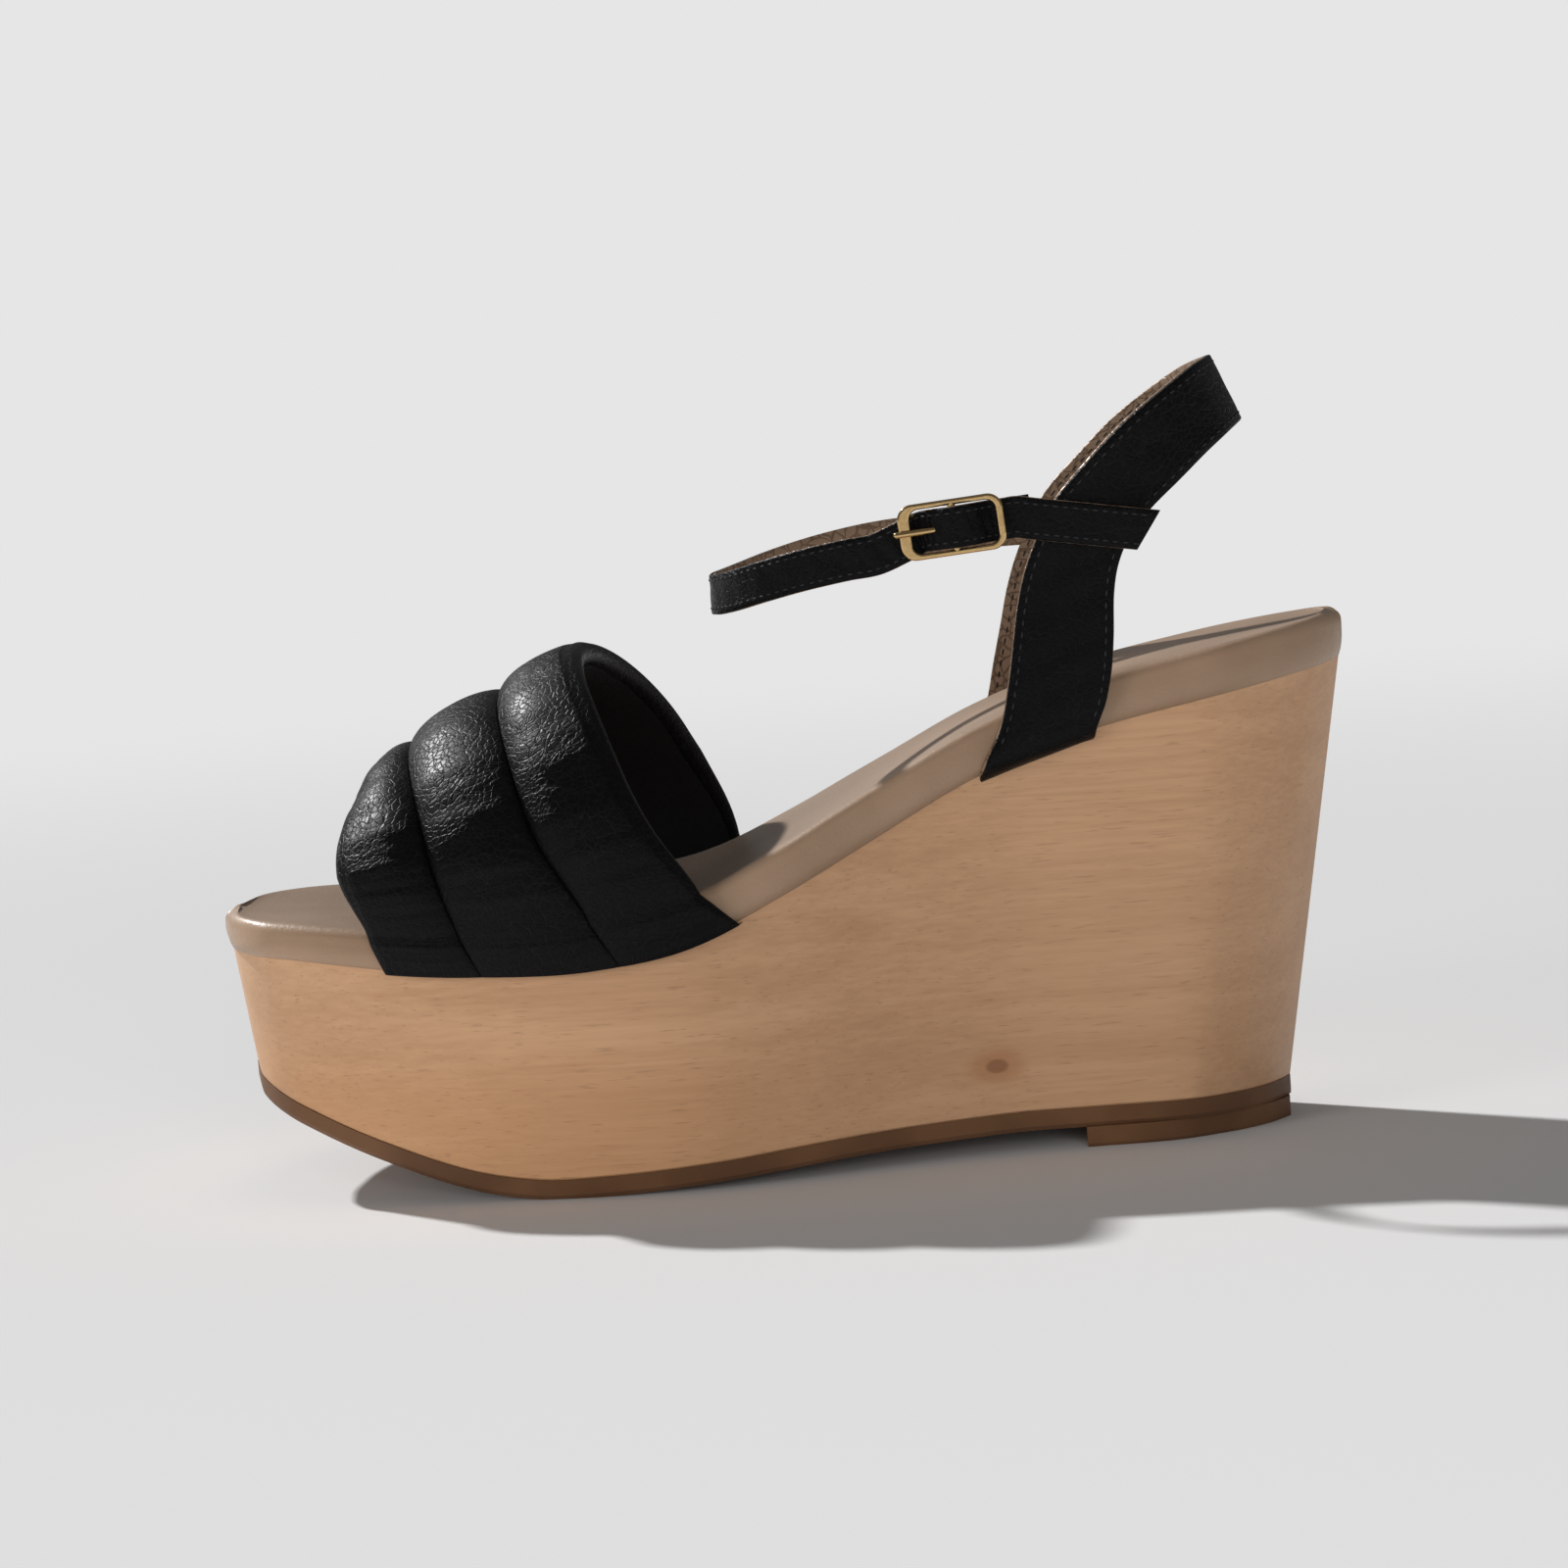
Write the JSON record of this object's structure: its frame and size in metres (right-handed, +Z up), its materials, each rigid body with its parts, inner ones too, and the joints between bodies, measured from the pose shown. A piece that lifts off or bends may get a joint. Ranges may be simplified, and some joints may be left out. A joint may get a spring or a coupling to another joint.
{
  "type": "wedge sandal",
  "caption": "Left-foot wedge sandal with a wooden wedge sole, padded toe strap, back strap and buckled ankle strap.",
  "frame": {"origin": "on the ground, under the middle of the shoe's outer box", "axes": "+X towards the heel, -X towards the toe, -Y the outer side of the foot, +Z up"},
  "size_m": [0.23, 0.1005, 0.1551],
  "materials": {
    "wood": "satin lacquer over fine horizontal grain",
    "sole_rubber": "matt moulded rubber",
    "board": "pressed fibre board",
    "foam": "soft polyurethane foam",
    "taupe_leather": "smooth satin leather",
    "black_lining": "smooth lining leather",
    "black_leather": "pebbled grain, semi-matt",
    "taupe_lining": "thin lining leather with a soft sheen",
    "stay_tape": "woven nylon tape",
    "gold_metal": "polished light gold plating"
  },
  "bodies": {
    "sole": {"wood_wedge": "wood", "outsole": "sole_rubber", "heel_lift": "sole_rubber", "insole_board": "board", "footbed_foam": "foam", "footbed_cover": "taupe_leather", "toe_strap_lining": "black_lining", "toe_strap_padding_front": "foam", "toe_strap_padding_middle": "foam", "toe_strap_padding_rear": "foam", "toe_strap_outer": "black_leather", "back_strap_lining": "taupe_lining", "back_strap_stay": "stay_tape", "back_strap_outer": "black_leather"},
    "ankle_strap": {"ankle_strap_lining": "taupe_lining", "ankle_strap_outer": "black_leather", "buckle_tab": "black_leather"},
    "strap_tail": {"strap_tail_lining": "taupe_lining", "strap_tail_outer": "black_leather"},
    "buckle": {"buckle_frame": "gold_metal", "buckle_bar": "gold_metal"},
    "prong": {"buckle_prong": "gold_metal"}
  },
  "joints": [
    {"name": "ankle_strap_swing", "type": "hinge", "parent": "sole", "child": "ankle_strap", "pos_m": [0.053, 0.0037, 0.122], "axis": [0, 1, 0], "range_deg": [-6, 10], "stiffness_Nm_per_rad": 0.6},
    {"name": "strap_tail_lift", "type": "hinge", "parent": "ankle_strap", "child": "strap_tail", "pos_m": [0.0513, -0.0284, 0.12656], "axis": [0.0785, 0, -0.9969], "range_deg": [0, 35], "stiffness_Nm_per_rad": 0.05},
    {"name": "buckle_rock", "type": "hinge", "parent": "ankle_strap", "child": "buckle", "pos_m": [0.0388, -0.02994, 0.1256], "axis": [-0.0785, 0, 0.9969], "range_deg": [-3, 3], "stiffness_Nm_per_rad": 0.05},
    {"name": "prong_lift", "type": "hinge", "parent": "buckle", "child": "prong", "pos_m": [0.0388, -0.02994, 0.1256], "axis": [-0.0785, 0, 0.9969], "range_deg": [0, 15]}
  ]
}
